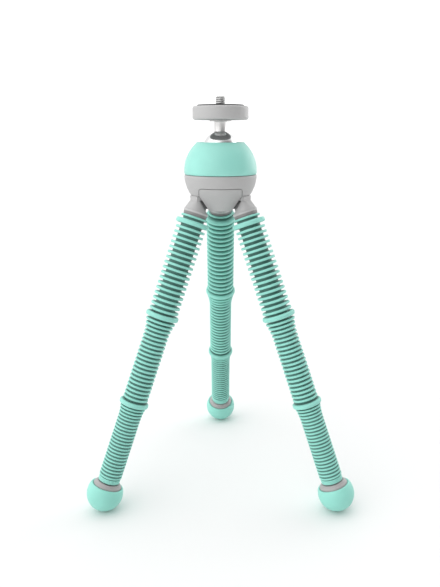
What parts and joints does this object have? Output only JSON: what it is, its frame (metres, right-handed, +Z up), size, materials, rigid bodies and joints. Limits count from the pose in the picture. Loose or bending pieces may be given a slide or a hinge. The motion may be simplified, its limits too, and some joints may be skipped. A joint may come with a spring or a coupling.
{
  "type": "flexible leg tripod",
  "caption": "Small camera tripod: ribbed bendable legs with ball feet, a round hub with a lock ring, and a ball head with a round platform and camera screw.",
  "frame": {"origin": "middle of the footprint's box, on the surface that the foot balls stand on; the head's axis is the vertical through X = 0, Y = -0.02411 m", "axes": "+Z up along the camera screw, -Y towards the viewer of the picture, where the front panel faces, +Y along the rear leg's side, +X to the right"},
  "size_m": [0.193, 0.1706, 0.2885],
  "materials": {
    "mint_rubber": "matte",
    "mint_plastic": "satin",
    "light_grey_plastic": "fine texture",
    "dark_grey_plastic": "matte",
    "dark_rubber": "matte",
    "polished_chrome": "polished",
    "steel": "turned",
    "skeleton_plastic": "moulded"
  },
  "bodies": {
    "hub": {"hub_body": "light_grey_plastic", "front_panel": "light_grey_plastic", "hub_cover": "dark_grey_plastic", "hip_screws": "steel", "cover_screws": "steel", "seat_washer": "steel", "left_hip_bracket": "light_grey_plastic", "left_top_collar": "mint_rubber", "right_hip_bracket": "light_grey_plastic", "right_top_collar": "mint_rubber", "rear_hip_bracket": "light_grey_plastic", "rear_top_collar": "mint_rubber"},
    "ball_seat": {"ball_seat": "dark_grey_plastic"},
    "ball_stem": {"ball_stem": "polished_chrome"},
    "platform": {"platform_disc": "light_grey_plastic", "camera_screw": "steel", "platform_pad": "dark_rubber", "thrust_washer": "steel", "screw_clip": "steel"},
    "clamp_ring": {"clamp_ring": "dark_grey_plastic"},
    "lock_ring": {"lock_ring": "mint_plastic"},
    "left_upper_link": {"left_upper_link": "skeleton_plastic", "left_upper_sleeve": "mint_rubber"},
    "left_upper_joiner": {"left_upper_joiner": "skeleton_plastic", "left_middle_collar": "mint_rubber"},
    "left_middle_link": {"left_middle_link": "skeleton_plastic", "left_middle_sleeve": "mint_rubber"},
    "left_lower_joiner": {"left_lower_joiner": "skeleton_plastic", "left_lower_collar": "mint_rubber"},
    "left_lower_link": {"left_lower_link": "skeleton_plastic", "left_lower_sleeve": "mint_rubber"},
    "left_foot": {"left_foot_link": "skeleton_plastic", "left_foot_ring": "light_grey_plastic", "left_foot_ball": "mint_rubber"},
    "right_upper_link": {"right_upper_link": "skeleton_plastic", "right_upper_sleeve": "mint_rubber"},
    "right_upper_joiner": {"right_upper_joiner": "skeleton_plastic", "right_middle_collar": "mint_rubber"},
    "right_middle_link": {"right_middle_link": "skeleton_plastic", "right_middle_sleeve": "mint_rubber"},
    "right_lower_joiner": {"right_lower_joiner": "skeleton_plastic", "right_lower_collar": "mint_rubber"},
    "right_lower_link": {"right_lower_link": "skeleton_plastic", "right_lower_sleeve": "mint_rubber"},
    "right_foot": {"right_foot_link": "skeleton_plastic", "right_foot_ring": "light_grey_plastic", "right_foot_ball": "mint_rubber"},
    "rear_upper_link": {"rear_upper_link": "skeleton_plastic", "rear_upper_sleeve": "mint_rubber"},
    "rear_upper_joiner": {"rear_upper_joiner": "skeleton_plastic", "rear_middle_collar": "mint_rubber"},
    "rear_middle_link": {"rear_middle_link": "skeleton_plastic", "rear_middle_sleeve": "mint_rubber"},
    "rear_lower_joiner": {"rear_lower_joiner": "skeleton_plastic", "rear_lower_collar": "mint_rubber"},
    "rear_lower_link": {"rear_lower_link": "skeleton_plastic", "rear_lower_sleeve": "mint_rubber"},
    "rear_foot": {"rear_foot_link": "skeleton_plastic", "rear_foot_ring": "light_grey_plastic", "rear_foot_ball": "mint_rubber"}
  },
  "joints": [
    {"name": "head_pan", "type": "hinge", "parent": "hub", "child": "ball_seat", "pos_m": [0, -0.02411, 0.25302], "axis": [0, 0, 1], "continuous": true},
    {"name": "head_tilt", "type": "hinge", "parent": "ball_seat", "child": "ball_stem", "pos_m": [0, -0.02411, 0.25302], "axis": [1, 0, 0], "range_deg": [-45, 45]},
    {"name": "platform_spin", "type": "hinge", "parent": "ball_stem", "child": "platform", "pos_m": [0, -0.02411, 0.27282], "axis": [0, 0, 1], "continuous": true},
    {"name": "lock_ring_turn", "type": "hinge", "parent": "clamp_ring", "child": "lock_ring", "pos_m": [0, -0.02411, 0.23742], "axis": [0, 0, 1], "range_deg": [0, 90]},
    {"name": "clamp_ring_travel", "type": "slide", "parent": "hub", "child": "clamp_ring", "axis": [0, 0, 1], "range_m": [0, 0.000375]},
    {"name": "left_upper_link_bend_outward", "type": "hinge", "parent": "hub", "child": "left_upper_link", "pos_m": [-0.02511, -0.0386, 0.18686], "axis": [-0.5, 0.866, 0], "range_deg": [-35, 35], "deforming": ["left_upper_sleeve"]},
    {"name": "left_upper_joiner_bend_sideways", "type": "hinge", "parent": "left_upper_link", "child": "left_upper_joiner", "pos_m": [-0.03583, -0.0448, 0.15492], "axis": [-0.8074, -0.4662, 0.3616], "range_deg": [-35, 35], "deforming": ["left_upper_sleeve"]},
    {"name": "left_middle_link_bend_outward", "type": "hinge", "parent": "left_upper_joiner", "child": "left_middle_link", "pos_m": [-0.04635, -0.05087, 0.12362], "axis": [-0.5, 0.866, 0], "range_deg": [-35, 35], "deforming": ["left_middle_sleeve"]},
    {"name": "left_lower_joiner_bend_sideways", "type": "hinge", "parent": "left_middle_link", "child": "left_lower_joiner", "pos_m": [-0.05665, -0.05682, 0.09295], "axis": [-0.8074, -0.4662, 0.3616], "range_deg": [-35, 35], "deforming": ["left_middle_sleeve"]},
    {"name": "left_lower_link_bend_outward", "type": "hinge", "parent": "left_lower_joiner", "child": "left_lower_link", "pos_m": [-0.06649, -0.06249, 0.06367], "axis": [-0.5, 0.866, 0], "range_deg": [-35, 35], "deforming": ["left_lower_sleeve"]},
    {"name": "left_foot_bend_sideways", "type": "hinge", "parent": "left_lower_link", "child": "left_foot", "pos_m": [-0.07585, -0.0679, 0.0358], "axis": [-0.8074, -0.4662, 0.3616], "range_deg": [-35, 35], "deforming": ["left_lower_sleeve"]},
    {"name": "right_upper_link_bend_outward", "type": "hinge", "parent": "hub", "child": "right_upper_link", "pos_m": [0.02511, -0.0386, 0.18686], "axis": [-0.5, -0.866, 0], "range_deg": [-35, 35], "deforming": ["right_upper_sleeve"]},
    {"name": "right_upper_joiner_bend_sideways", "type": "hinge", "parent": "right_upper_link", "child": "right_upper_joiner", "pos_m": [0.03583, -0.0448, 0.15492], "axis": [0.8074, -0.4662, 0.3616], "range_deg": [-35, 35], "deforming": ["right_upper_sleeve"]},
    {"name": "right_middle_link_bend_outward", "type": "hinge", "parent": "right_upper_joiner", "child": "right_middle_link", "pos_m": [0.04635, -0.05087, 0.12362], "axis": [-0.5, -0.866, 0], "range_deg": [-35, 35], "deforming": ["right_middle_sleeve"]},
    {"name": "right_lower_joiner_bend_sideways", "type": "hinge", "parent": "right_middle_link", "child": "right_lower_joiner", "pos_m": [0.05665, -0.05682, 0.09295], "axis": [0.8074, -0.4662, 0.3616], "range_deg": [-35, 35], "deforming": ["right_middle_sleeve"]},
    {"name": "right_lower_link_bend_outward", "type": "hinge", "parent": "right_lower_joiner", "child": "right_lower_link", "pos_m": [0.06649, -0.06249, 0.06367], "axis": [-0.5, -0.866, 0], "range_deg": [-35, 35], "deforming": ["right_lower_sleeve"]},
    {"name": "right_foot_bend_sideways", "type": "hinge", "parent": "right_lower_link", "child": "right_foot", "pos_m": [0.07585, -0.0679, 0.0358], "axis": [0.8074, -0.4662, 0.3616], "range_deg": [-35, 35], "deforming": ["right_lower_sleeve"]},
    {"name": "rear_upper_link_bend_outward", "type": "hinge", "parent": "hub", "child": "rear_upper_link", "pos_m": [0, 0.00489, 0.18686], "axis": [1, 0, 0], "range_deg": [-35, 35], "deforming": ["rear_upper_sleeve"]},
    {"name": "rear_upper_joiner_bend_sideways", "type": "hinge", "parent": "rear_upper_link", "child": "rear_upper_joiner", "pos_m": [0, 0.01727, 0.15492], "axis": [0, 0.9323, 0.3616], "range_deg": [-35, 35], "deforming": ["rear_upper_sleeve"]},
    {"name": "rear_middle_link_bend_outward", "type": "hinge", "parent": "rear_upper_joiner", "child": "rear_middle_link", "pos_m": [0, 0.02941, 0.12362], "axis": [1, 0, 0], "range_deg": [-35, 35], "deforming": ["rear_middle_sleeve"]},
    {"name": "rear_lower_joiner_bend_sideways", "type": "hinge", "parent": "rear_middle_link", "child": "rear_lower_joiner", "pos_m": [0, 0.04131, 0.09295], "axis": [0, 0.9323, 0.3616], "range_deg": [-35, 35], "deforming": ["rear_middle_sleeve"]},
    {"name": "rear_lower_link_bend_outward", "type": "hinge", "parent": "rear_lower_joiner", "child": "rear_lower_link", "pos_m": [0, 0.05267, 0.06367], "axis": [1, 0, 0], "range_deg": [-35, 35], "deforming": ["rear_lower_sleeve"]},
    {"name": "rear_foot_bend_sideways", "type": "hinge", "parent": "rear_lower_link", "child": "rear_foot", "pos_m": [0, 0.06348, 0.0358], "axis": [0, 0.9323, 0.3616], "range_deg": [-35, 35], "deforming": ["rear_lower_sleeve"]}
  ],
  "couplings": [
    {"joint": "lock_ring_turn", "follows": "clamp_ring_travel", "rad_per_m": 4188.8}
  ]
}
